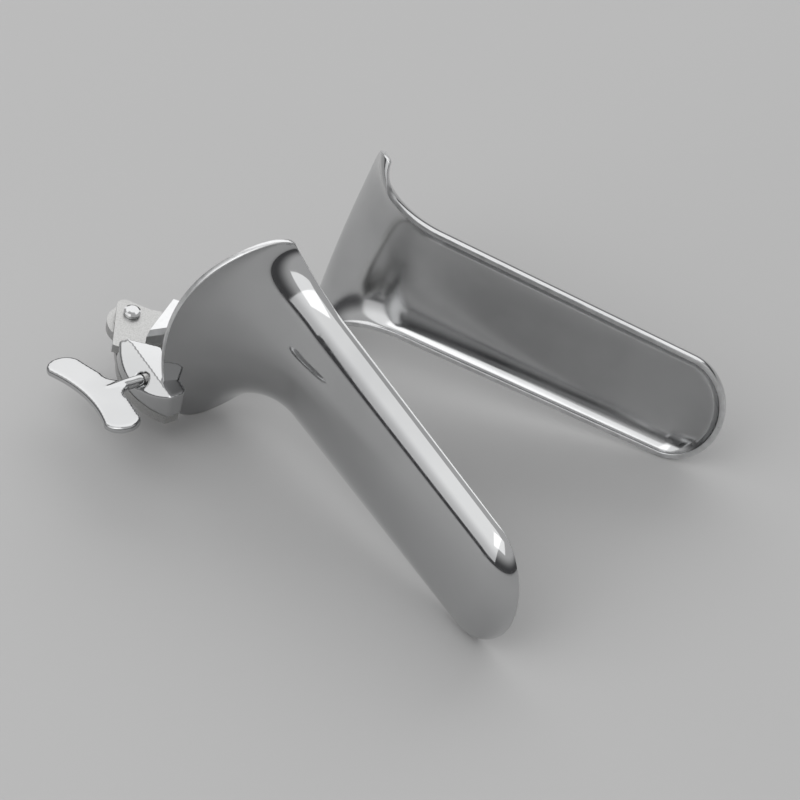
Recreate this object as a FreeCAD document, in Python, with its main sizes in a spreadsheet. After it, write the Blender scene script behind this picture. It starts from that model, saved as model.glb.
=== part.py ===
import FreeCAD, Part
import Sketcher
import math
import os
from FreeCAD import Placement, Rotation, Vector

# Bivalve speculum lying on its side: two gutter-shaped valves joined at one side by a
# hinge pin, with a wing screw in a horn on the near valve that pushes the far valve open.
# Every piece of the near valve is drawn in the near frame and every piece of the far valve
# in the far frame. Both have their origin on the hinge axis at the valves' mid-plane,
# x along the valve to its tip, z along the hinge axis. The near valve bulges to -y and the
# far valve to +y.

doc = FreeCAD.newDocument("speculum")
sheet = doc.addObject("Spreadsheet::Sheet", "Sheet")

SIZES = [
    # pose on the table
    ("near_heading", "-54.94"), ("opening_angle", "31.91"),
    ("tilt_x", "7.936"), ("tilt_y", "10.095"),
    ("rest_x", "-51.404"), ("rest_y", "31.218"), ("rest_z", "39.806"),
    # valve blades
    ("blade_width", "35"), ("tip_width", "31.6"), ("blade_depth", "6.8"), ("tip_depth", "6.05"),
    ("valve_length", "90.6"), ("wall", "1.3"), ("tip_round", "11.1"), ("tip_slope", "10.3"),
    # trumpet flange
    ("flare_length", "18.9"), ("flare_hinge_side", "19.8"), ("edge_lift_hinge", "5"),
    ("rim_sweep", "4.05"), ("rim_slant", "8"), ("slant_reach", "25"),
    ("rim_fullness_hinge", "0.65"), ("corner_hinge", "0.19"), ("corner_zone", "0.3"),
    # open side of each flange: the two are finished by hand and differ a little
    ("near_flare_depth", "17.3"), ("near_flare_open_side", "9.4"), ("near_flare_growth", "0.76"),
    ("near_edge_lift", "3.6"), ("near_rim_fullness", "1.35"),
    ("near_corner", "0.22"), ("near_corner_zone", "0.7"),
    ("far_flare_depth", "14.3"), ("far_flare_open_side", "9"), ("far_flare_growth", "1"),
    ("far_edge_lift", "5.8"), ("far_rim_fullness", "2.2"),
    ("far_corner", "0.07"), ("far_corner_zone", "0.3"),
    # where the hinge axis stands from each valve's rim plane and parting plane
    ("near_pin_back", "29.15"), ("near_pin_out", "15.27"),
    ("far_pin_back", "37.9"), ("far_pin_in", "21.38"),
    # hinge levels, below the mid-plane
    ("plate_level", "24"), ("plate_thick", "2.4"), ("plate_gap", "0.3"),
    ("washer_thick", "0.2"),
    ("pin_diameter", "3.2"), ("pin_clearance", "0.05"), ("head_diameter", "3.8"),
    ("head_height", "1.2"), ("head_dome", "0.35"), ("washer_diameter", "7.6"),
    ("collar_diameter", "5.4"), ("collar_height", "0.8"),
    # near plate and horn
    ("near_lobe", "5.2"), ("near_toe_x", "0"), ("near_toe_y", "7.9"), ("near_plate_reach", "27.4"),
    ("horn_level", "20"), ("horn_start", "7.8"), ("horn_back", "8.1"), ("horn_end", "27.8"),
    ("horn_face", "2.2"), ("horn_shoulder", "14.1"), ("horn_bulge", "10.6"), ("horn_middle", "17.5"),
    ("ridge_offset", "6.9"), ("ridge_slope", "45"), ("horn_tip_round", "1.6"),
    ("seat_clearance", "0.4"),
    # far plate, rail, thrust wall and arm
    ("far_lobe", "4.4"), ("heel_radius", "10.6"), ("heel_x", "0.8"), ("rail_start", "6.9"),
    ("rail_width", "2.9"), ("rail_low", "-7"), ("rail_high", "5.6"), ("rail_bevel", "1.0"),
    ("thrust_end", "23"), ("thrust_bevel", "0.9"), ("ledge_end", "22.4"),
    ("thrust_thick", "2.4"), ("arm_width", "3"), ("arm_height", "4.2"),
    ("arm_bow", "3.1"), ("arm_rise", "0.9"), ("arm_turn", "14"), ("arm_sink", "0.5"),
    # screw and wing key
    ("screw_x", "19.18"), ("screw_y", "-8.3"), ("screw_level", "22.2"), ("screw_lean", "3"),
    ("screw_turn", "20.7"), ("screw_diameter", "2.5"), ("thread_clearance", "0.06"),
    ("screw_reach", "19.75"), ("stub_length", "1.2"), ("cap_radius", "1.7"), ("cap_length", "2.1"),
    ("cap_wall", "0.95"), ("cap_clearance", "0.05"), ("cap_gap", "0.4"),
    ("neck_diameter", "2.6"), ("neck_gap", "0.25"), ("neck_length", "7"), ("tenon_radius", "0.75"),
    ("tenon_length", "2.2"), ("wing_thick", "1.7"), ("wing_span", "13.2"), ("wing_rise", "12.4"),
    ("lobe_radius", "4.1"), ("wing_waist", "14.45"), ("wing_shoulder", "7.1"),
    ("web_reach", "5"), ("wing_edge", "0.55"),
]

for row, (alias, value) in enumerate(SIZES, start=1):
    sheet.set("A%d" % row, alias)
    sheet.set("B%d" % row, value)
    sheet.setAlias("B%d" % row, alias)
doc.recompute()


def size(alias):
    return float(sheet.get(alias))


# Frames of the two valves in the pose on the table.

LEAN = Rotation(Vector(0, 1, 0), size("tilt_y")) * Rotation(Vector(1, 0, 0), size("tilt_x"))
HINGE_POINT = Vector(size("rest_x"), size("rest_y"), size("rest_z"))
NEAR = Placement(HINGE_POINT, LEAN * Rotation(Vector(0, 0, 1), size("near_heading")))
FAR = NEAR * Placement(Vector(0, 0, 0), Rotation(Vector(0, 0, 1), size("opening_angle")))
SCREW = NEAR * Placement(
    Vector(size("screw_x"), size("screw_y"), -size("screw_level")),
    Rotation(Vector(0, 0, 1), 180 - size("screw_lean"))
    * Rotation(Vector(0, 1, 0), size("screw_turn")))


# Helpers for bodies and sketches.

def new_body(name, placement):
    body = doc.addObject("PartDesign::Body", name)
    body.Label = name
    body.Placement = placement
    return body


def origin_plane(body, role):
    return next(f for f in body.Origin.OriginFeatures if f.Role == role)


def add_sketch(body, role, name, level=0.0):
    sketch = body.newObject("Sketcher::SketchObject", name)
    sketch.AttachmentSupport = (origin_plane(body, role), [""])
    sketch.MapMode = "FlatFace"
    sketch.AttachmentOffset = Placement(Vector(0, 0, level), Rotation())
    return sketch


def draw_loop(sketch, points):
    """Straight closed outline through (x, y) points."""
    for i, start in enumerate(points):
        end = points[(i + 1) % len(points)]
        sketch.addGeometry(Part.LineSegment(Vector(*start, 0), Vector(*end, 0)), False)


def draw_path(sketch, steps):
    """Closed outline of lines and three-point arcs; a step is (end,) or (through, end)."""
    start = steps[-1][-1]
    for step in steps:
        end = step[-1]
        if len(step) == 1:
            edge = Part.LineSegment(Vector(*start, 0), Vector(*end, 0))
        else:
            edge = Part.Arc(Vector(*start, 0), Vector(*step[0], 0), Vector(*end, 0))
        sketch.addGeometry(edge, False)
        start = end


def draw_circle(sketch, x, y, diameter, formula):
    circle = Part.Circle(Vector(x, y, 0), Vector(0, 0, 1), diameter / 2)
    index = sketch.addGeometry(circle, False)
    constraint = sketch.addConstraint(Sketcher.Constraint("Diameter", index, diameter))
    sketch.setExpression("Constraints[%d]" % constraint, formula)


def pad(body, sketch, name, formula, reverse=False):
    feature = body.newObject("PartDesign::Pad", name)
    feature.Profile = sketch
    feature.setExpression("Length", formula)
    feature.Reversed = reverse
    return feature


def pocket_through(body, sketch, name):
    feature = body.newObject("PartDesign::Pocket", name)
    feature.Profile = sketch
    feature.Type = "ThroughAll"
    feature.Midplane = True
    return feature


def turned(name, placement, outline, along_y=False):
    """Body of revolution; outline is (radius, height) about z, or about y."""
    body = new_body(name, placement)
    sketch = add_sketch(body, "XY_Plane" if along_y else "XZ_Plane", name + "_outline")
    draw_loop(sketch, outline)
    feature = body.newObject("PartDesign::Revolution", name + "_turned")
    feature.Profile = sketch
    feature.ReferenceAxis = (sketch, ["V_Axis"])
    feature.Angle = 360
    return body


def round_edges(body, base, name, edges, formula):
    feature = body.newObject("PartDesign::Fillet", name)
    feature.Base = (base, edges)
    feature.setExpression("Radius", formula)
    return feature


def edges_where(shape, test):
    return ["Edge%d" % i for i, edge in enumerate(shape.Edges, start=1) if test(edge)]


# Valves.

def valve_point(valve, along, across):
    """Outer surface of a valve: (distance from the rim plane, outward, lateral).

    along runs -1 at the rim, 0 where the flare ends, 1 where the tip starts, 2 at the tip;
    across runs -1 at the hinge side edge to 1 at the open side edge. The numbers here are
    the shares and powers of the curve; every length is a named size.
    """
    length, flare = size("valve_length"), size("flare_length")
    tip, slope = size("tip_round"), size("tip_slope")
    side = math.sin(across * math.pi / 2)
    back = max(math.cos(across * math.pi / 2), 1e-9)

    def blend(open_side, hinge_side):
        open_size, hinge_size = size(valve + open_side), size(hinge_side)
        return (open_size + hinge_size) / 2 + (open_size - hinge_size) / 2 * side

    if along < 0:
        zone = size(valve + "_corner_zone") if across > 0 else size("corner_zone")
        corner = size(valve + "_corner") if across > 0 else size("corner_hinge")
        near_edge = max(0.0, (abs(across) - 1 + zone) / zone)
        along *= 1 - corner * (1 - math.sqrt(max(0.0, 1 - near_edge ** 2)))
        x = flare
    elif along <= 1:
        x = flare + (length - tip - flare) * along
    else:
        x = length - tip * (1 - math.sin((along - 1) * math.pi / 2))
    share = (x - flare) / (length - flare)
    half = (size("blade_width") + (size("tip_width") - size("blade_width")) * share) / 2
    deep = size("blade_depth") + (size("tip_depth") - size("blade_depth")) * share
    half *= math.sqrt(max(0.0, 1 - max(0.0, (x - length + tip) / tip) ** 2))
    deep *= math.sqrt(max(0.0, 1 - max(0.0, (x - length + slope) / slope) ** 2))
    turn = max(0.0, -along) * math.pi / 2
    grow = 1 - math.cos(turn)
    spread = grow ** size(valve + "_flare_growth") if across > 0 else grow
    lift = blend("_edge_lift", "edge_lift_hinge") * grow
    power = 1 + (blend("_rim_fullness", "rim_fullness_hinge") - 1) * grow
    lateral = (half + blend("_flare_open_side", "flare_hinge_side") * spread) * side
    outward = lift + (deep + size(valve + "_flare_depth") * grow - lift) * back ** power
    if along < 0:
        x = flare * (1 - math.sin(turn))
    x -= size("rim_sweep") * grow * back
    slant = math.tan(math.radians(size("rim_slant")))
    x += lateral * slant * math.exp(-max(x, 0.0) / size("slant_reach"))
    return Vector(x, outward, lateral)


def inner_point(valve, along, across):
    """The outer point moved inwards by the wall thickness."""
    step = 0.004
    a0, a1 = max(along - step, -1.0), min(along + step, 1.985)
    b0, b1 = max(across - step, -1.0), min(across + step, 1.0)
    normal = (valve_point(valve, a1, across) - valve_point(valve, a0, across)).cross(
        valve_point(valve, along, b1) - valve_point(valve, along, b0))
    return valve_point(valve, along, across) + normal.normalize() * size("wall")


def in_valve_frame(valve, point):
    """A surface point moved from the rim plane to the valve's frame on the hinge axis."""
    if valve == "near":
        return Vector(point.x + size("near_pin_back"), size("near_pin_out") - point.y, point.z)
    return Vector(point.x + size("far_pin_back"), point.y + size("far_pin_in"), point.z)


def valve_solid(valve):
    """Closed shell between two spline surfaces."""
    rows = [-1 + i / 12 for i in range(12)] + [i / 17 for i in range(17)]
    rows += [1 + 0.98 * i / 9 for i in range(10)]
    columns = [math.sin((i / 32 - 0.5) * math.pi) for i in range(33)]

    def face(point):
        grid = [[in_valve_frame(valve, point(valve, a, b)) for b in columns] for a in rows]
        surface = Part.BSplineSurface()
        surface.interpolate(grid)
        return surface, surface.toShape()

    outer, outer_face = face(valve_point)
    inner, inner_face = face(inner_point)
    faces = [outer_face, inner_face]
    u0, u1, v0, v1 = outer.bounds()
    s0, s1, t0, t1 = inner.bounds()
    pairs = [(outer.uIso(u0), inner.uIso(s0)), (outer.uIso(u1), inner.uIso(s1)),
             (outer.vIso(v0), inner.vIso(t0)), (outer.vIso(v1), inner.vIso(t1))]
    for first, second in pairs:
        faces.append(Part.makeRuledSurface(first.toShape(), second.toShape()))
    shell = Part.Shell(faces)
    shell.sewShape()
    solid = Part.Solid(shell)
    if solid.Volume < 0:
        solid.reverse()
    return solid


def make_valve(valve, placement):
    item = doc.addObject("Part::Feature", valve + "_valve")
    item.Label = valve + "_valve"
    item.Shape = valve_solid(valve)
    item.Placement = placement


make_valve("near", NEAR)
make_valve("far", FAR)


# The arm's sections as shares of its length, and the place of its end across the far lip.

ARM_SHARES = (0, 0.2, 0.5, 0.8, 1)
ARM_LIP = -0.78

# Levels along the hinge axis, measured up from the mid-plane.

FAR_TOP = -size("plate_level")
FAR_BOTTOM = FAR_TOP - size("plate_thick")
NEAR_TOP = FAR_BOTTOM - size("plate_gap")
NEAR_BOTTOM = NEAR_TOP - size("plate_thick")
HORN_TOP = -size("horn_level")


def near_plate():
    body = new_body("near_hinge_plate", NEAR)
    sketch = add_sketch(body, "XY_Plane", "near_plate_outline", NEAR_TOP)
    lobe, toe_x, toe_y = size("near_lobe"), size("near_toe_x"), size("near_toe_y")
    reach, bulge = size("near_plate_reach"), size("horn_bulge")
    draw_path(sketch, [
        ((toe_x, toe_y),),
        ((toe_x + toe_y, toe_y),),
        ((reach - 6, -size("horn_face")),),
        ((reach, -size("horn_face") - 1.5),),
        ((reach, -size("ridge_offset")),),
        ((size("horn_middle"), -bulge), (size("horn_start"), -size("horn_back"))),
        ((1.4, -lobe),),
        ((-0.71 * lobe, -0.71 * lobe), (-lobe, 0.5)),
    ])
    draw_circle(sketch, 0, 0, size("pin_diameter"), "Sheet.pin_diameter")
    pad(body, sketch, "near_plate_pad", "Sheet.plate_thick", reverse=True)


def near_horn():
    body = new_body("near_horn", NEAR)
    sketch = add_sketch(body, "XY_Plane", "horn_outline", HORN_TOP)
    start, end, face = size("horn_start"), size("horn_end"), size("horn_face")
    tip = size("horn_tip_round")
    draw_path(sketch, [
        ((size("horn_shoulder"), -face + 1),),
        ((size("horn_shoulder") + 3, -face),),
        ((end - tip, -face - 0.4),),
        ((end - 0.3 * tip, -face - 0.4 - 0.3 * tip), (end, -face - 0.4 - tip)),
        ((end, -size("ridge_offset")),),
        ((size("horn_middle"), -size("horn_bulge")), (start, -size("horn_back"))),
    ])
    sketch_height = "Sheet.plate_level + Sheet.plate_thick + Sheet.plate_gap - Sheet.horn_level"
    pad(body, sketch, "horn_pad", sketch_height, reverse=True)
    # the slanted outer face: a wedge cut off along the ridge
    wedge = add_sketch(body, "YZ_Plane", "horn_wedge")
    out = size("horn_bulge") - size("ridge_offset") + 2
    drop = out * math.tan(math.radians(size("ridge_slope")))
    ridge = -size("ridge_offset")
    draw_loop(wedge, [(ridge, HORN_TOP), (ridge, HORN_TOP + 1), (ridge - out, HORN_TOP + 1),
                      (ridge - out, HORN_TOP - drop)])
    pocket_through(body, wedge, "horn_slant")
    # hole for the screw and seat round the key's neck
    for name, diameter, first, last in (
            ("horn_hole", "Sheet.screw_diameter + 2 * Sheet.thread_clearance", -20, 30),
            ("horn_seat", "Sheet.neck_diameter + 2 * Sheet.seat_clearance", 0, 12)):
        tool = body.newObject("PartDesign::SubtractiveCylinder", name)
        tool.setExpression("Radius", "(%s) / 2" % diameter)
        tool.Height = last - first
        axis = Rotation(Vector(0, 0, 1), 180 - size("screw_lean")) * Rotation(Vector(1, 0, 0), -90)
        centre = Vector(size("screw_x"), size("screw_y"), -size("screw_level"))
        tool.AttachmentOffset = Placement(centre, axis) * Placement(
            Vector(0, 0, first), Rotation())
        tool.AttachmentSupport = (origin_plane(body, "XY_Plane"), [""])
        tool.MapMode = "FlatFace"


def hinge_pin():
    radius, head = size("pin_diameter") / 2, size("head_diameter") / 2
    top = FAR_TOP + size("head_height")
    bottom = NEAR_BOTTOM
    turned("hinge_pin", NEAR, [
        (0, bottom), (radius, bottom), (radius, FAR_TOP + 0.1), (head, FAR_TOP + 0.1),
        (head, top - size("head_dome")), (head - 0.45, top - 0.1), (0.8, top), (0, top)])


def ring(name, placement, inner, outer, low, high):
    turned(name, placement, [(inner, low), (outer, low), (outer, high), (inner, high)])


def far_plate():
    body = new_body("far_hinge_plate", FAR)
    sketch = add_sketch(body, "XY_Plane", "far_plate_outline", FAR_TOP)
    lobe, heel, heel_x = size("far_lobe"), size("heel_radius"), size("heel_x")
    heel_y = -math.sqrt(heel ** 2 - heel_x ** 2)
    rail_far = size("rail_start") + size("rail_width")
    low = -math.sqrt(heel ** 2 - rail_far ** 2)
    middle = Vector(heel_x + rail_far, heel_y + low, 0).normalize() * heel
    wall = size("cap_radius") + size("thrust_thick")
    ledge = size("cap_radius") + size("cap_gap")
    draw_path(sketch, [
        ((middle.x, middle.y), (rail_far, low)),
        ((rail_far + 2, ledge),),
        ((size("ledge_end"), ledge),),
        ((size("ledge_end"), wall),),
        ((rail_far + 3, wall),),
        ((rail_far + 1, size("rail_high")),),
        ((rail_far, size("rail_high") + 0.6),),
        ((size("rail_start"), size("rail_high")),),
        ((size("rail_start") - 1.3, 0.82 * lobe),),
        ((-0.6 * lobe, 0.69 * lobe),),
        ((-0.88 * lobe, 0.53 * lobe), (-0.95 * lobe, 0.2 * lobe)),
        ((heel_x, heel_y),),
    ])
    draw_circle(sketch, 0, 0, size("pin_diameter") + 2 * size("pin_clearance"),
                "Sheet.pin_diameter + 2 * Sheet.pin_clearance")
    pad(body, sketch, "far_plate_pad", "Sheet.plate_thick", reverse=True)


def far_rail():
    """The bright bar that stands on the far plate, with a bevelled end."""
    body = new_body("far_rail", FAR)
    sketch = add_sketch(body, "XY_Plane", "rail_outline", FAR_TOP)
    near, far = size("rail_start"), size("rail_start") + size("rail_width")
    low = size("rail_low")
    draw_loop(sketch, [(near, low), (far, low + size("rail_width")),
                       (far, size("rail_high") + 0.6), (near, size("rail_high"))])
    bar = pad(body, sketch, "rail_pad", "Sheet.plate_level - Sheet.horn_level")
    doc.recompute()
    ends = edges_where(bar.Shape, lambda edge: edge.BoundBox.ZMin > HORN_TOP - 0.01
                       and edge.BoundBox.YMax < low + size("rail_width") + 0.01)
    bevel = body.newObject("PartDesign::Chamfer", "rail_end_bevel")
    bevel.Base = (bar, ends)
    bevel.setExpression("Size", "Sheet.rail_bevel")


def thrust_wall():
    """The wall on the far plate that the screw's cap pushes."""
    body = new_body("far_thrust_wall", FAR)
    sketch = add_sketch(body, "XY_Plane", "thrust_outline", FAR_TOP)
    start, end = size("rail_start") + size("rail_width"), size("thrust_end")
    face, back = size("cap_radius"), size("cap_radius") + size("thrust_thick")
    draw_loop(sketch, [(start, face), (end, face), (end, back), (start, back)])
    slab = pad(body, sketch, "thrust_pad", "Sheet.plate_level - Sheet.horn_level")
    doc.recompute()
    foot = edges_where(slab.Shape, lambda edge: edge.BoundBox.ZMax < FAR_TOP + 0.01
                       and edge.BoundBox.XMin > end - 0.01)
    bevel = body.newObject("PartDesign::Chamfer", "thrust_end_bevel")
    bevel.Base = (slab, foot)
    bevel.setExpression("Size", "Sheet.thrust_bevel")


def far_arm():
    """Bent strap from the rail down to the hinge-side lip of the far flange."""
    body = new_body("far_arm", FAR)
    half_width, half_height = size("arm_width") / 2, size("arm_height") / 2
    start = Vector(size("rail_start") + 0.7 * size("rail_width"), size("rail_high") - half_height,
                   HORN_TOP - 1.1 * half_height)
    lip = in_valve_frame("far", valve_point("far", -1, ARM_LIP))
    end = lip + Vector(-size("arm_sink"), 0, half_height)
    chord = end - start
    heading = math.degrees(math.atan2(chord.y, chord.x))
    sections = []
    for i, share in enumerate(ARM_SHARES):
        bow = 4 * share * (1 - share)
        centre = start + chord * share + Vector(-size("arm_bow") * bow, 0, size("arm_rise") * bow)
        turn = heading + size("arm_turn") * (1 - 2 * share)
        sketch = body.newObject("Sketcher::SketchObject", "arm_section_%d" % i)
        sketch.AttachmentSupport = (origin_plane(body, "XY_Plane"), [""])
        sketch.MapMode = "FlatFace"
        sketch.AttachmentOffset = Placement(centre, Rotation(
            Vector(0, 0, 1), turn - 90) * Rotation(Vector(1, 0, 0), 90))
        draw_loop(sketch, [(-half_width, -half_height), (half_width, -half_height),
                           (half_width, half_height), (-half_width, half_height)])
        sections.append(sketch)
    loft = body.newObject("PartDesign::AdditiveLoft", "arm_loft")
    loft.Profile = sections[0]
    loft.Sections = sections[1:]
    loft.Ruled = False


def wing_key():
    """Flat two-lobed wing on a round neck; y runs out along the screw axis."""
    body = new_body("wing_key", SCREW)
    neck, rise, gap = size("neck_diameter") / 2, size("wing_rise"), size("neck_gap")
    span, lobe, web = size("wing_span"), size("lobe_radius"), size("web_reach")
    root, shoulder, waist = size("neck_length") * 0.6, size("wing_shoulder"), size("wing_waist")
    sketch = add_sketch(body, "XY_Plane", "wing_outline", -size("wing_thick") / 2)
    inside = (neck + 0.3 * web, shoulder - 0.25 * (shoulder - root))
    draw_path(sketch, [
        ((0.9 * neck, root),),
        (inside, (neck + web, shoulder)),
        ((span, rise - lobe),),
        ((span + lobe, rise), (span, rise + lobe)),
        ((0, waist), (-span, rise + lobe)),
        ((-span - lobe, rise), (-span, rise - lobe)),
        ((-neck - web, shoulder),),
        ((-inside[0], inside[1]), (-0.9 * neck, root)),
    ])
    wing = pad(body, sketch, "wing_pad", "Sheet.wing_thick")
    doc.recompute()
    rim = edges_where(wing.Shape, lambda edge: edge.BoundBox.ZLength < 0.01
                      and edge.BoundBox.YMax > shoulder)
    round_edges(body, wing, "wing_rounding", rim, "Sheet.wing_edge")
    profile = add_sketch(body, "XY_Plane", "neck_outline")
    flat, length = 0.55 * size("wing_thick"), size("neck_length")
    draw_loop(profile, [(0, gap), (0.85 * neck, gap), (neck, gap + 0.15 * neck),
                        (neck, 0.6 * length), (flat, 1.3 * length), (0, 1.45 * length)])
    neck_turn = body.newObject("PartDesign::Revolution", "neck_turned")
    neck_turn.Profile = profile
    neck_turn.ReferenceAxis = (profile, ["V_Axis"])
    neck_turn.Angle = 360
    bore = add_sketch(body, "XY_Plane", "neck_bore")
    tenon, depth = size("tenon_radius"), gap + size("tenon_length")
    draw_loop(bore, [(0, -gap), (tenon, -gap), (tenon, depth), (0, depth + tenon / 2)])
    hollow = body.newObject("PartDesign::Groove", "neck_hollow")
    hollow.Profile = bore
    hollow.ReferenceAxis = (bore, ["V_Axis"])
    hollow.Angle = 360


def screw_shaft():
    """Shaft through the horn: a tenon in the key's neck, a stub for the cap at its end."""
    radius, tenon = size("screw_diameter") / 2, size("tenon_radius")
    stub, reach = size("cap_radius") - size("cap_wall"), size("screw_reach")
    end, gap = reach + size("stub_length"), size("neck_gap")
    depth = gap + size("tenon_length")
    turned("screw_shaft", SCREW, [
        (0, -end), (stub, -end), (stub, -reach), (radius, -reach), (radius, gap), (tenon, gap),
        (tenon, depth), (0, depth + tenon / 2)], along_y=True)


def thrust_cap():
    """Ball-nosed cap on the screw's end; it slides with the screw and doesn't turn."""
    radius, clear = size("cap_radius"), size("cap_clearance")
    bore, top = radius - size("cap_wall") + clear, -size("screw_reach") - clear
    floor = -size("screw_reach") - size("stub_length") - clear
    centre = top - size("cap_length") + radius
    half, nose = 0.7071 * radius, 0.3 * radius
    bottom = centre - math.sqrt(radius ** 2 - nose ** 2)
    body = new_body("thrust_cap", SCREW)
    sketch = add_sketch(body, "XY_Plane", "cap_outline")
    draw_path(sketch, [((bore, floor),), ((bore, top),), ((radius, top),), ((radius, centre),),
                       ((half, centre - half), (nose, bottom)), ((0, bottom),), ((0, floor),)])
    feature = body.newObject("PartDesign::Revolution", "cap_turned")
    feature.Profile = sketch
    feature.ReferenceAxis = (sketch, ["V_Axis"])
    feature.Angle = 360


near_plate()
near_horn()
hinge_pin()
ring("hinge_washer", NEAR, size("pin_diameter") / 2 + 0.05, size("washer_diameter") / 2,
     NEAR_TOP, NEAR_TOP + size("washer_thick"))
ring("pin_collar", NEAR, size("pin_diameter") / 2, size("collar_diameter") / 2,
     NEAR_BOTTOM - size("collar_height"), NEAR_BOTTOM)
far_plate()
far_rail()
thrust_wall()
far_arm()
wing_key()
screw_shaft()
thrust_cap()

doc.recompute()

NODES = ["near_valve", "near_hinge_plate", "near_horn", "hinge_pin", "hinge_washer", "pin_collar",
         "far_valve", "far_hinge_plate", "far_rail", "far_thrust_wall", "far_arm",
         "wing_key", "screw_shaft", "thrust_cap"]

os.makedirs("parts", exist_ok=True)
for item in doc.Objects:
    if "Invalid" in item.State or "Error" in item.State:
        raise RuntimeError("%s did not rebuild: %s" % (item.Label, item.State))
for label in NODES:
    node = doc.getObjectsByLabel(label)[0]
    if node.Shape.isNull() or not node.Shape.isValid():
        raise RuntimeError("%s has no valid shape" % label)
    node.Shape.exportStep("parts/%s.step" % label)
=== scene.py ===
"""Bivalve speculum on a pale floor: polished valves, hinge, horn and wing key."""

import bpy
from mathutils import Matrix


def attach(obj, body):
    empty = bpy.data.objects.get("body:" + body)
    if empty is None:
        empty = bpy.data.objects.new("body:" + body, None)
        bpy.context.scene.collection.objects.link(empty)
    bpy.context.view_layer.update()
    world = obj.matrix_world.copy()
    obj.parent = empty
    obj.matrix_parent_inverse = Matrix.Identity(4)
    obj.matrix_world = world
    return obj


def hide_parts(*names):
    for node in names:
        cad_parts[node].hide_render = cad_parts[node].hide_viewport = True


bl_info = {
    "name": "Bivalve Speculum",
    "version": (1, 0, 0),
    "blender": (4, 5, 0),
    "location": "View3D > Sidebar > Speculum",
    "description": "Builds a polished bivalve speculum round its frame, with studio light",
    "category": "Add Mesh",
}

from math import cos, exp, pi, radians, sin, sqrt, tan

import bmesh
import bpy
from bpy.props import FloatProperty, FloatVectorProperty, PointerProperty
from bpy.types import Operator, Panel, PropertyGroup
from mathutils import Matrix, Vector

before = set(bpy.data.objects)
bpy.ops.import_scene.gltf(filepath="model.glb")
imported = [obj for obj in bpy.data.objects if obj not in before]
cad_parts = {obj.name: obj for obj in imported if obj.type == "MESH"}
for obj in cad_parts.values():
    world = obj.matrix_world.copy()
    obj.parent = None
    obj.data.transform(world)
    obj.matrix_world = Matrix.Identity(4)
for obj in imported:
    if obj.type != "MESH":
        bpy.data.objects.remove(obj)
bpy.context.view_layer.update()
MM = 0.001


def length_value(name, description, millimetres):
    return FloatProperty(name=name, description=description, default=millimetres * MM,
                         subtype="DISTANCE", unit="LENGTH")


def angle_value(name, description, degrees):
    return FloatProperty(name=name, description=description, default=radians(degrees),
                         subtype="ANGLE", unit="ROTATION")


def plain_value(name, description, value):
    return FloatProperty(name=name, description=description, default=value)


def colour_value(name, description, colour):
    return FloatVectorProperty(name=name, description=description, default=colour, size=3,
                               subtype="COLOR", min=0, max=1)


class SpeculumPose(PropertyGroup):
    """How the instrument lies on the floor."""

    near_heading: angle_value("Near Heading", "Heading of the near valve", -54.94)
    opening: angle_value("Opening", "Angle between the valves", 31.91)
    tilt_x: angle_value("Tilt X", "Lean of the hinge about X", 7.936)
    tilt_y: angle_value("Tilt Y", "Lean of the hinge about Y", 10.095)
    hinge_x: length_value("Hinge X", "Hinge point, X", -51.404)
    hinge_y: length_value("Hinge Y", "Hinge point, Y", 31.218)
    hinge_z: length_value("Hinge Z", "Hinge point, Z", 39.806)


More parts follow.
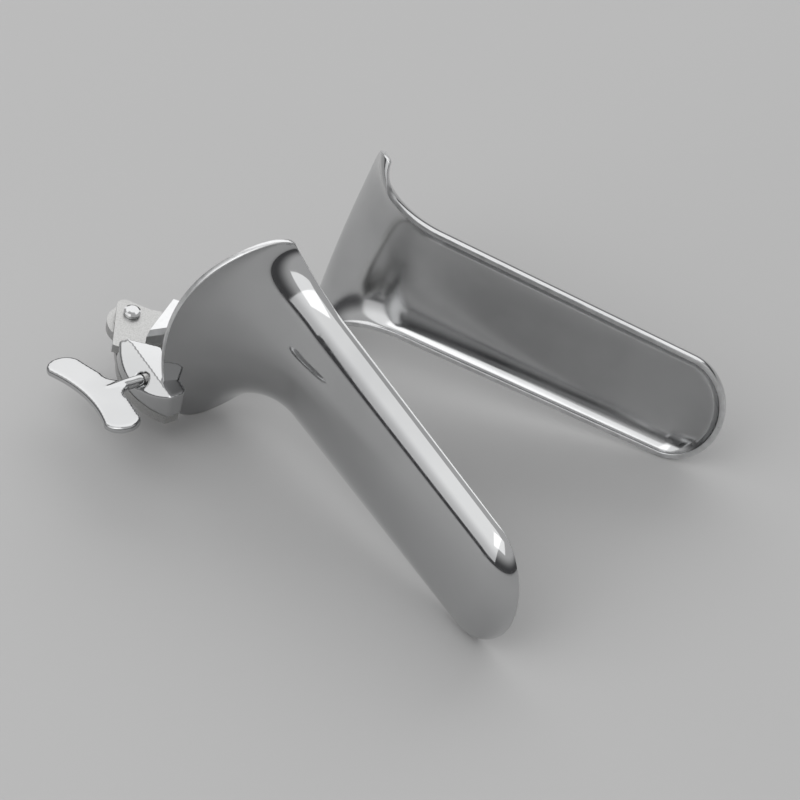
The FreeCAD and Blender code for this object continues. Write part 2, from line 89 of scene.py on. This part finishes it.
class ValveSizes(PropertyGroup):
    """Shape of the valves; only the open side of the flange differs between the two."""

    blade_width: length_value("Blade Width", "Width where the flare starts", 35)
    tip_width: length_value("Tip Width", "Width where the tip starts", 31.6)
    blade_depth: length_value("Blade Depth", "Gutter depth where the flare starts", 6.8)
    tip_depth: length_value("Tip Depth", "Gutter depth where the tip starts", 6.05)
    valve_length: length_value("Length", "From the rim plane to the tip", 90.6)
    wall: length_value("Wall", "Thickness of the sheet", 1.3)
    tip_round: length_value("Tip Round", "Length of the rounded tip", 11.1)
    tip_slope: length_value("Tip Slope", "Length over which the tip rises", 10.3)
    flare_length: length_value("Flare Length", "Length of the trumpet flange", 18.9)
    flare_hinge: length_value("Flare Hinge Side", "Spread at the hinge side", 19.8)
    lift_hinge: length_value("Lift Hinge Side", "Rise of the edge, hinge side", 5)
    rim_sweep: length_value("Rim Sweep", "How far the rim's middle leans back", 4.05)
    rim_slant: angle_value("Rim Slant", "Slant of the rim across the valve", 8)
    slant_reach: length_value("Slant Reach", "How far the slant reaches along", 25)
    fullness_hinge: plain_value("Fullness Hinge Side", "Power of the rim's curve", 0.65)
    corner_hinge: plain_value("Corner Hinge Side", "Share cut off the rim's corner", 0.19)
    zone_hinge: plain_value("Corner Zone Hinge Side", "Share of the rim in the corner", 0.3)
    near_depth: length_value("Near Flare Depth", "How far the near flange turns out", 17.3)
    near_open: length_value("Near Flare Open Side", "Spread at the open side", 9.4)
    near_growth: plain_value("Near Flare Growth", "Power of the spread's growth", 0.76)
    near_lift: length_value("Near Lift Open Side", "Rise of the edge, open side", 3.6)
    near_fullness: plain_value("Near Fullness Open Side", "Power of the rim's curve", 1.35)
    near_corner: plain_value("Near Corner Open Side", "Share cut off the rim's corner", 0.22)
    near_zone: plain_value("Near Corner Zone", "Share of the rim in the corner", 0.7)
    far_depth: length_value("Far Flare Depth", "How far the far flange turns out", 14.3)
    far_open: length_value("Far Flare Open Side", "Spread at the open side", 9)
    far_growth: plain_value("Far Flare Growth", "Power of the spread's growth", 1)
    far_lift: length_value("Far Lift Open Side", "Rise of the edge, open side", 5.8)
    far_fullness: plain_value("Far Fullness Open Side", "Power of the rim's curve", 2.2)
    far_corner: plain_value("Far Corner Open Side", "Share cut off the rim's corner", 0.07)
    far_zone: plain_value("Far Corner Zone", "Share of the rim in the corner", 0.3)
    edge_round: length_value("Edge Round", "Rounding of the ground edges", 0.2)
    near_pin_back: length_value("Near Pin Back", "Rim plane to hinge, near valve", 29.15)
    near_pin_out: length_value("Near Pin Out", "Parting plane to hinge, near valve", 15.27)
    far_pin_back: length_value("Far Pin Back", "Rim plane to hinge, far valve", 37.9)
    far_pin_in: length_value("Far Pin In", "Parting plane to hinge, far valve", 21.38)


class SteelFinish(PropertyGroup):
    """Colours of the steel."""

    polished: colour_value("Polished Steel", "Mirror-polished surfaces", (0.54, 0.544, 0.548))
    polished_dull: colour_value("Handled Steel", "Hazy patches of the polish",
                                (0.47, 0.474, 0.478))
    edge: colour_value("Ground Edge", "Flat ground edges", (0.74, 0.745, 0.75))
    satin: colour_value("Satin Steel", "Brushed plates", (0.50, 0.50, 0.495))
    satin_dark: colour_value("Satin Recesses", "Darker grain of the plates",
                             (0.36, 0.36, 0.355))


class StageSizes(PropertyGroup):
    """Floor, lamps and camera."""

    floor_colour: colour_value("Floor", "Pale floor", (0.5, 0.5, 0.5))
    room_low: colour_value("Room Walls", "Colour of the room at the horizon",
                           (0.08, 0.08, 0.083))
    room_high: colour_value("Room Ceiling", "Colour of the soft light overhead",
                            (0.60, 0.60, 0.60))
    room_light: plain_value("Room Light", "Strength of the room's light", 1.0)
    back_light: plain_value("Back Lamp", "Brightness of the lamp at the back", 0.95)
    left_light: plain_value("Left Lamp", "Brightness of the lamp at the left", 0.7)
    front_light: plain_value("Front Lamp", "Brightness of the lamp over the camera", 0.8)
    target_x: length_value("Target X", "Target, X", 3.389)
    target_y: length_value("Target Y", "Target, Y", -15.763)
    target_z: length_value("Target Z", "Target, Z", 34.656)
    camera_distance: length_value("Camera Distance", "Camera to target", 587.8)
    camera_rise: angle_value("Camera Rise", "Camera's height above the horizon", 40.113)
    camera_heading: angle_value("Camera Heading", "Turn of the view about Z", -0.848)
    camera_roll: angle_value("Camera Roll", "Roll of the camera", 1.215)
    camera_lens: plain_value("Lens", "Focal length in millimetres", 129.6)


# Frames of the two valves.

def hinge_frame(pose, heading):
    """Frame on the hinge axis: x along the valve, z along the axis."""
    lean = Matrix.Rotation(pose.tilt_y, 4, "Y") @ Matrix.Rotation(pose.tilt_x, 4, "X")
    place = Matrix.Translation((pose.hinge_x, pose.hinge_y, pose.hinge_z))
    return place @ lean @ Matrix.Rotation(heading, 4, "Z")


# Shape of a valve. A point of the sheet is given by two numbers: along is -1 at the rim, 0
# where the flare starts, 1 where the tip's round starts and 2 at its end; across is -1 at the
# hinge side and 1 at the open side.

LEAST_COSINE = 1e-9


def corner_cut(sizes, valve, along, across):
    """Draws the rim in towards its corners, so that they are rounded."""
    if along >= 0:
        return along
    zone = getattr(sizes, valve + "_zone") if across > 0 else sizes.zone_hinge
    corner = getattr(sizes, valve + "_corner") if across > 0 else sizes.corner_hinge
    near_edge = max(0.0, (abs(across) - 1 + zone) / zone)
    return along * (1 - corner * (1 - sqrt(max(0.0, 1 - near_edge ** 2))))


def valve_point(sizes, valve, along, across):
    """Outer surface: (distance from the rim plane, outward, lateral)."""
    side = sin(across * pi / 2)
    back = max(cos(across * pi / 2), LEAST_COSINE)
    flare, length = sizes.flare_length, sizes.valve_length - sizes.edge_round

    def blend(open_side, hinge_side):
        open_size = getattr(sizes, valve + open_side)
        return (open_size + hinge_side) / 2 + (open_size - hinge_side) / 2 * side

    if along < 0:
        x = flare
    elif along <= 1:
        x = flare + (length - sizes.tip_round - flare) * along
    else:
        x = length - sizes.tip_round * (1 - sin((along - 1) * pi / 2))
    share = (x - flare) / (length - flare)
    half = (sizes.blade_width + (sizes.tip_width - sizes.blade_width) * share) / 2
    half -= sizes.edge_round
    deep = sizes.blade_depth + (sizes.tip_depth - sizes.blade_depth) * share
    into_round = max(0.0, (x - length + sizes.tip_round) / sizes.tip_round)
    into_slope = max(0.0, (x - length + sizes.tip_slope) / sizes.tip_slope)
    half *= sqrt(max(0.0, 1 - into_round ** 2))
    deep *= sqrt(max(0.0, 1 - into_slope ** 2))
    turn = max(0.0, -along) * pi / 2
    grow = 1 - cos(turn)
    spread = grow ** getattr(sizes, valve + "_growth") if across > 0 else grow
    depth = getattr(sizes, valve + "_depth") - sizes.edge_round
    lift = blend("_lift", sizes.lift_hinge) * grow
    power = 1 + (blend("_fullness", sizes.fullness_hinge) - 1) * grow
    lateral = (half + blend("_open", sizes.flare_hinge) * spread) * side
    outward = lift + (deep + depth * grow - lift) * back ** power
    if along < 0:
        x = flare * (1 - sin(turn))
    x -= sizes.rim_sweep * grow * back
    x += lateral * tan(sizes.rim_slant) * exp(-max(x, 0.0) / sizes.slant_reach)
    return Vector((x, outward, lateral))


# Rows of the grid: from, to and number of steps for the flare, the blade and the tip. The last
# row stops just short of the tip, where the rows would run together.
ALONG_STEPS = ((-1.0, 0.0, 48), (0.0, 1.0, 44), (1.0, 1.985, 36))
ACROSS_STEPS = 96
PROBE = 0.004  # half the step over which a slope is measured
LAST_PROBE = 1.99


def valve_grids(sizes, valve):
    """Outer and inner surface points as rows from the rim to the tip."""
    rows = []
    for first, last, count in ALONG_STEPS:
        rows += [first + (last - first) * i / count for i in range(count)]
    rows.append(ALONG_STEPS[-1][1])
    outer, inner = [], []
    for row in rows:
        outer_row, inner_row = [], []
        for j in range(ACROSS_STEPS + 1):
            across = sin((j / ACROSS_STEPS - 0.5) * pi)
            along = corner_cut(sizes, valve, row, across)
            a0, a1 = max(along - PROBE, -1.0), min(along + PROBE, LAST_PROBE)
            b0, b1 = max(across - PROBE, -1.0), min(across + PROBE, 1.0)
            run = valve_point(sizes, valve, a1, across) - valve_point(sizes, valve, a0, across)
            girth = valve_point(sizes, valve, along, b1) - valve_point(sizes, valve, along, b0)
            point = valve_point(sizes, valve, along, across)
            outer_row.append(point)
            inner_row.append(point + run.cross(girth).normalized() * sizes.wall)
        outer.append(outer_row)
        inner.append(inner_row)
    return outer, inner


def border_loop(rows, columns):
    """Indices of the grid's border points, in order round it."""
    loop = [(0, j) for j in range(columns)]
    loop += [(i, columns - 1) for i in range(1, rows)]
    loop += [(rows - 1, j) for j in range(columns - 2, -1, -1)]
    loop += [(i, 0) for i in range(rows - 2, 0, -1)]
    return loop


# Profile of a ground edge: share of the rounding outwards, and share of it inwards from
# the nearer face of the sheet.
EDGE_PROFILE = ((0.62, 0.12), (1.0, 0.75))
# Material slots of a valve.
OUTER_SLOT, EDGE_SLOT, INNER_SLOT = 0, 1, 2


def valve_piece(name, sizes, valve, placement, mirror, back, out):
    """One valve as a closed sheet with rounded ground edges."""
    outer, inner = valve_grids(sizes, valve)
    loop = border_loop(len(outer), len(outer[0]))
    top_edge = [outer[i][j] for i, j in loop]
    floor_edge = [inner[i][j] for i, j in loop]
    rings = [[] for _ in range(2 * len(EDGE_PROFILE))]
    count = len(loop)
    for k in range(count):
        top, floor = top_edge[k], floor_edge[k]
        ahead, behind = top_edge[(k + 1) % count], top_edge[k - 1]
        through = (floor - top).normalized()
        outwards = through.cross((ahead - behind).normalized()).normalized()
        for ring, (off, down) in enumerate(EDGE_PROFILE):
            shift = outwards * (off * sizes.edge_round)
            sink = through * (down * sizes.edge_round)
            rings[ring].append(top + shift + sink)
            rings[-1 - ring].append(floor + shift - sink)

    def placed(point):
        local = Vector((point.x + back, mirror * (point.y - out), point.z))
        return placement @ local

    mesh = bmesh.new()
    top = [[mesh.verts.new(placed(p)) for p in row] for row in outer]
    floor = [[mesh.verts.new(placed(p)) for p in row] for row in inner]
    for grid, flip in ((top, False), (floor, True)):
        for i in range(len(grid) - 1):
            for j in range(len(grid[0]) - 1):
                corners = [grid[i][j], grid[i][j + 1], grid[i + 1][j + 1], grid[i + 1][j]]
                face = mesh.faces.new(corners[::-1] if flip else corners)
                face.material_index = INNER_SLOT if flip else OUTER_SLOT
    bands = [[top[i][j] for i, j in loop]]
    bands += [[mesh.verts.new(placed(p)) for p in ring] for ring in rings]
    bands.append([floor[i][j] for i, j in loop])
    for first, second in zip(bands, bands[1:]):
        for k in range(count):
            after = (k + 1) % count
            face = mesh.faces.new([first[k], second[k], second[after], first[after]])
            face.material_index = EDGE_SLOT
    bmesh.ops.recalc_face_normals(mesh, faces=mesh.faces)
    return finished_piece(mesh, name)


def finished_piece(mesh, name):
    """The mesh as a smooth-shaded object of the scene."""
    for face in mesh.faces:
        face.smooth = True
    data = bpy.data.meshes.new(name)
    mesh.to_mesh(data)
    mesh.free()
    piece = bpy.data.objects.new(name, data)
    bpy.context.scene.collection.objects.link(piece)
    return piece


# Materials.

class Recipe:
    """A material in the making: adds shader nodes and links them."""

    def __init__(self, name):
        self.material = bpy.data.materials.new(name)
        self.material.use_nodes = True
        self.nodes = self.material.node_tree.nodes
        self.links = self.material.node_tree.links
        self.shader = self.nodes["Principled BSDF"]

    def add(self, kind, **values):
        node = self.nodes.new(kind)
        for key, value in values.items():
            setattr(node, key, value)
        return node

    def link(self, source, output, target, entry):
        self.links.new(source.outputs[output], target.inputs[entry])

    def grain(self, stretch, scale, detail=4.0, turn=(0.0, 0.0, 0.0)):
        """Noise in the piece's own space, stretched by a factor for each axis."""
        place = self.add("ShaderNodeTexCoord")
        mapping = self.add("ShaderNodeMapping")
        mapping.inputs["Scale"].default_value = stretch
        mapping.inputs["Rotation"].default_value = turn
        noise = self.add("ShaderNodeTexNoise")
        noise.inputs["Scale"].default_value = scale
        noise.inputs["Detail"].default_value = detail
        self.link(place, "Object", mapping, "Vector")
        self.link(mapping, "Vector", noise, "Vector")
        return noise

    def ramp(self, source, low, high, start=0.35, end=0.65):
        """Maps a noise to a value or colour range."""
        node = self.add("ShaderNodeValToRGB")
        node.color_ramp.elements[0].position = start
        node.color_ramp.elements[1].position = end
        for element, value in zip(node.color_ramp.elements, (low, high)):
            colour = (value, value, value) if isinstance(value, float) else tuple(value)
            element.color = (*colour, 1.0)
        self.link(source, "Fac", node, "Fac")
        return node

    def bump(self, source, strength, distance):
        """Fine unevenness of the surface from a noise."""
        node = self.add("ShaderNodeBump")
        node.inputs["Strength"].default_value = strength
        node.inputs["Distance"].default_value = distance
        self.link(source, "Fac", node, "Height")
        self.link(node, "Normal", self.shader, "Normal")


EVEN = (1, 1, 1)  # grain without a direction
STROKES = (1, 6, 6)  # grain drawn out along the polishing strokes
STROKE_TURN = (0.0, 0.0, 0.8)


def metal_recipe(name):
    recipe = Recipe(name)
    recipe.shader.inputs["Metallic"].default_value = 1.0
    return recipe


def polished_steel(finish):
    """Mirror polish with hazy patches and faint polishing strokes."""
    recipe = metal_recipe("polished_steel_look")
    haze = recipe.grain(EVEN, scale=28, detail=3)
    colour = recipe.ramp(haze, finish.polished_dull, finish.polished, start=0.3, end=0.6)
    recipe.link(colour, "Color", recipe.shader, "Base Color")
    streaks = recipe.grain(STROKES, scale=160, detail=6, turn=STROKE_TURN)
    gloss = recipe.ramp(streaks, low=0.045, high=0.13, start=0.4, end=0.8)
    recipe.link(gloss, "Color", recipe.shader, "Roughness")
    fine = recipe.grain(EVEN, scale=900, detail=4)
    recipe.bump(fine, strength=0.05, distance=0.02 * MM)
    return recipe.material


def inner_polish(finish):
    """The hollow side of the valves, polished less brightly than the outside."""
    recipe = metal_recipe("inner_polish_look")
    haze = recipe.grain(EVEN, scale=60, detail=3)
    colour = recipe.ramp(haze, finish.polished_dull, finish.polished, start=0.3, end=0.6)
    recipe.link(colour, "Color", recipe.shader, "Base Color")
    gloss = recipe.ramp(haze, low=0.12, high=0.20, start=0.35, end=0.7)
    recipe.link(gloss, "Color", recipe.shader, "Roughness")
    fine = recipe.grain(STROKES, scale=700, detail=5, turn=STROKE_TURN)
    recipe.bump(fine, strength=0.05, distance=0.02 * MM)
    return recipe.material


EDGE_SHADE = 0.82  # darkest tone of a ground edge, as a share of its colour


def ground_edge(finish):
    """Ground flat and lightly brushed: the valves' edges and the rail."""
    recipe = metal_recipe("ground_edge_look")
    tone = recipe.grain(EVEN, scale=400, detail=4)
    shade = tuple(EDGE_SHADE * c for c in finish.edge)
    colour = recipe.ramp(tone, shade, finish.edge, start=0.3, end=0.6)
    recipe.link(colour, "Color", recipe.shader, "Base Color")
    gloss = recipe.ramp(tone, low=0.30, high=0.42)
    recipe.link(gloss, "Color", recipe.shader, "Roughness")
    recipe.bump(tone, strength=0.08, distance=0.03 * MM)
    return recipe.material


def satin_steel(finish):
    """Fine even grit: plates, wall, arm and the screw's small parts."""
    recipe = metal_recipe("satin_steel_look")
    grit = recipe.grain(EVEN, scale=3600, detail=4)
    colour = recipe.ramp(grit, finish.satin_dark, finish.satin, start=0.3, end=0.6)
    recipe.link(colour, "Color", recipe.shader, "Base Color")
    gloss = recipe.ramp(grit, low=0.30, high=0.42)
    recipe.link(gloss, "Color", recipe.shader, "Roughness")
    recipe.bump(grit, strength=0.15, distance=0.03 * MM)
    return recipe.material


def made_look(name, maker):
    """The look of that name, made on first use."""
    found = bpy.data.materials.get(name + "_look")
    return found or maker(bpy.context.scene.speculum_finish)


def dress_node(node_name, look):
    """Gives a carried-over node its look; its mesh stays as it is."""
    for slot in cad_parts[node_name].material_slots:
        slot.material = look


SAME_POINT = 0.002 * MM  # corners of faces closer than this are one point


def cast_copy(node_name, voxel, rounds):
    """A piece with the node's shape, whose edges and corners flow together as in a casting.

    voxel is the size of the new skin's squares, rounds how often they are smoothed.
    """
    shape = bmesh.new()
    shape.from_mesh(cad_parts[node_name].data)
    bmesh.ops.remove_doubles(shape, verts=shape.verts, dist=SAME_POINT)
    piece = finished_piece(shape, node_name + "_casting")
    remesh = piece.modifiers.new("even_skin", "REMESH")
    remesh.mode = "VOXEL"
    remesh.voxel_size = voxel
    remesh.use_smooth_shade = True
    polish = piece.modifiers.new("flowing_edges", "SMOOTH")
    polish.factor = 0.5
    polish.iterations = rounds
    return piece


# Operators, one for each piece or group of pieces.

class SPECULUM_OT_valves(Operator):
    """Build the two gutter-shaped valves with their trumpet flanges"""

    bl_idname = "speculum.valves"
    bl_label = "Valves"

    def execute(self, context):
        sizes, pose = context.scene.speculum_valve, context.scene.speculum_pose
        near = hinge_frame(pose, pose.near_heading)
        far = hinge_frame(pose, pose.near_heading + pose.opening)
        polish = made_look("polished_steel", polished_steel)
        edge = made_look("ground_edge", ground_edge)
        inside = made_look("inner_polish", inner_polish)
        for valve, place, mirror, back, out in (
                ("near", near, -1, sizes.near_pin_back, sizes.near_pin_out),
                ("far", far, 1, sizes.far_pin_back, -sizes.far_pin_in)):
            piece = valve_piece(valve + "_valve_sheet", sizes, valve, place, mirror, back, out)
            for look in (polish, edge, inside):
                piece.data.materials.append(look)
            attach(piece, valve + "_body")
            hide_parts(valve + "_valve")
        return {"FINISHED"}


class SPECULUM_OT_hinge(Operator):
    """Finish the plates, pin, rail, wall and arm of the hinge"""

    bl_idname = "speculum.hinge"
    bl_label = "Hinge"

    def execute(self, context):
        satin = made_look("satin_steel", satin_steel)
        edge = made_look("ground_edge", ground_edge)
        for name in ("near_hinge_plate", "far_hinge_plate", "far_thrust_wall", "far_arm",
                     "hinge_washer", "pin_collar"):
            dress_node(name, satin)
        dress_node("far_rail", edge)
        dress_node("hinge_pin", made_look("polished_steel", polished_steel))
        return {"FINISHED"}


class SPECULUM_OT_horn(Operator):
    """Finish the horn that carries the screw"""

    bl_idname = "speculum.horn"
    bl_label = "Horn"

    def execute(self, context):
        horn = cast_copy("near_horn", voxel=0.25 * MM, rounds=16)
        horn.data.materials.append(made_look("polished_steel", polished_steel))
        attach(horn, "near_body")
        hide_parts("near_horn")
        return {"FINISHED"}


class SPECULUM_OT_key(Operator):
    """Build the wing key, and finish its screw and the cap at the screw's end"""

    bl_idname = "speculum.key"
    bl_label = "Wing Key and Screw"

    def execute(self, context):
        satin = made_look("satin_steel", satin_steel)
        key = cast_copy("wing_key", voxel=0.2 * MM, rounds=24)
        key.data.materials.append(made_look("polished_steel", polished_steel))
        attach(key, "screw_key")
        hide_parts("wing_key")
        dress_node("screw_shaft", satin)
        dress_node("thrust_cap", satin)
        return {"FINISHED"}


# Lamps: name, position, width and height in metres, and the stage value of its brightness.
LAMPS = (("back_lamp", (0.15, 0.88, 0.74), 1.7, 1.1, "back_light"),
         ("left_lamp", (-0.60, -0.32, 0.65), 0.9, 1.45, "left_light"),
         ("front_lamp", (-0.38, -0.80, 1.12), 1.2, 1.0, "front_light"))
LAMP_AIM = Vector((0, 0, 0.03))
FLOOR_HALF = 3.0
FLOOR_SQUARES = 8
FLOOR_DROP = 0.05 * MM  # keeps the floor's face clear of the steel that stands on it
FLOOR_SHADE = 0.985
ROOM_WALL_TOP, ROOM_CEILING = 0.10, 0.50  # sines of the rise where the room's colour changes
SENSOR_WIDTH = 36
CLIP_START = 0.01


def soft_lamp(name, position, width, height, brightness):
    """A lamp turned to the object; its brightness is what the steel mirrors."""
    data = bpy.data.lights.new(name, "AREA")
    data.shape = "RECTANGLE"
    data.size, data.size_y = width, height
    data.energy = brightness * pi * width * height
    lamp = bpy.data.objects.new(name, data)
    aim = LAMP_AIM - Vector(position)
    lamp.rotation_euler = aim.to_track_quat("-Z", "Y").to_euler()
    lamp.location = position
    bpy.context.scene.collection.objects.link(lamp)


class SPECULUM_OT_stage(Operator):
    """Set up the pale floor, the soft lamps, the room and the camera"""

    bl_idname = "speculum.stage"
    bl_label = "Stage"

    def execute(self, context):
        stage = context.scene.speculum_stage
        mesh = bmesh.new()
        bmesh.ops.create_grid(mesh, x_segments=FLOOR_SQUARES, y_segments=FLOOR_SQUARES,
                              size=FLOOR_HALF)
        floor = finished_piece(mesh, "floor")
        recipe = Recipe("floor_look")
        tone = recipe.grain(EVEN, scale=6, detail=2)
        pale = tuple(stage.floor_colour)
        colour = recipe.ramp(tone, tuple(FLOOR_SHADE * c for c in pale), pale)
        recipe.link(colour, "Color", recipe.shader, "Base Color")
        recipe.shader.inputs["Roughness"].default_value = 0.85
        recipe.shader.inputs["Specular IOR Level"].default_value = 0.1
        floor.data.materials.append(recipe.material)
        floor.location.z = -FLOOR_DROP

        for name, position, width, height, light in LAMPS:
            soft_lamp(name, position, width, height, getattr(stage, light))

        world = bpy.data.worlds.new("room")
        world.use_nodes = True
        nodes, links = world.node_tree.nodes, world.node_tree.links
        room = nodes["Background"]
        place = nodes.new("ShaderNodeTexCoord")
        parts = nodes.new("ShaderNodeSeparateXYZ")
        rise = nodes.new("ShaderNodeValToRGB")
        links.new(place.outputs["Generated"], parts.inputs["Vector"])
        links.new(parts.outputs["Z"], rise.inputs["Fac"])
        links.new(rise.outputs["Color"], room.inputs["Color"])
        low, high = rise.color_ramp.elements
        low.position, high.position = ROOM_WALL_TOP, ROOM_CEILING
        low.color = (*stage.room_low, 1)
        high.color = (*stage.room_high, 1)
        rise.color_ramp.interpolation = "EASE"
        room.inputs["Strength"].default_value = stage.room_light
        context.scene.world = world
        context.scene.view_settings.view_transform = "Standard"

        data = bpy.data.cameras.new("camera")
        data.sensor_width = SENSOR_WIDTH
        data.lens = stage.camera_lens
        data.clip_start = CLIP_START
        camera = bpy.data.objects.new("camera", data)
        target = Matrix.Translation((stage.target_x, stage.target_y, stage.target_z))
        aim = (Matrix.Rotation(stage.camera_heading, 4, "Z")
               @ Matrix.Rotation(pi / 2 - stage.camera_rise, 4, "X")
               @ Matrix.Rotation(stage.camera_roll, 4, "Z"))
        camera.matrix_world = target @ aim @ Matrix.Translation((0, 0, stage.camera_distance))
        context.scene.collection.objects.link(camera)
        context.scene.camera = camera
        return {"FINISHED"}


class SPECULUM_PT_panel(Panel):
    """Lists the pieces of the speculum"""

    bl_label = "Bivalve Speculum"
    bl_idname = "SPECULUM_PT_panel"
    bl_space_type = "VIEW_3D"
    bl_region_type = "UI"
    bl_category = "Speculum"

    def draw(self, context):
        for operator in OPERATORS:
            self.layout.operator(operator.bl_idname)


OPERATORS = (SPECULUM_OT_valves, SPECULUM_OT_hinge, SPECULUM_OT_horn, SPECULUM_OT_key,
             SPECULUM_OT_stage)
GROUPS = (("speculum_pose", SpeculumPose), ("speculum_valve", ValveSizes),
          ("speculum_finish", SteelFinish), ("speculum_stage", StageSizes))
CLASSES = tuple(group for _, group in GROUPS) + OPERATORS + (SPECULUM_PT_panel,)


def register():
    for entry in CLASSES:
        bpy.utils.register_class(entry)
    for name, group in GROUPS:
        setattr(bpy.types.Scene, name, PointerProperty(type=group))


def unregister():
    for name, _ in GROUPS:
        delattr(bpy.types.Scene, name)
    for entry in reversed(CLASSES):
        bpy.utils.unregister_class(entry)


def main():
    """Builds all the pieces and the stage."""
    register()
    bpy.ops.speculum.valves()
    bpy.ops.speculum.hinge()
    bpy.ops.speculum.horn()
    bpy.ops.speculum.key()
    bpy.ops.speculum.stage()


if __name__ == "__main__":
    main()
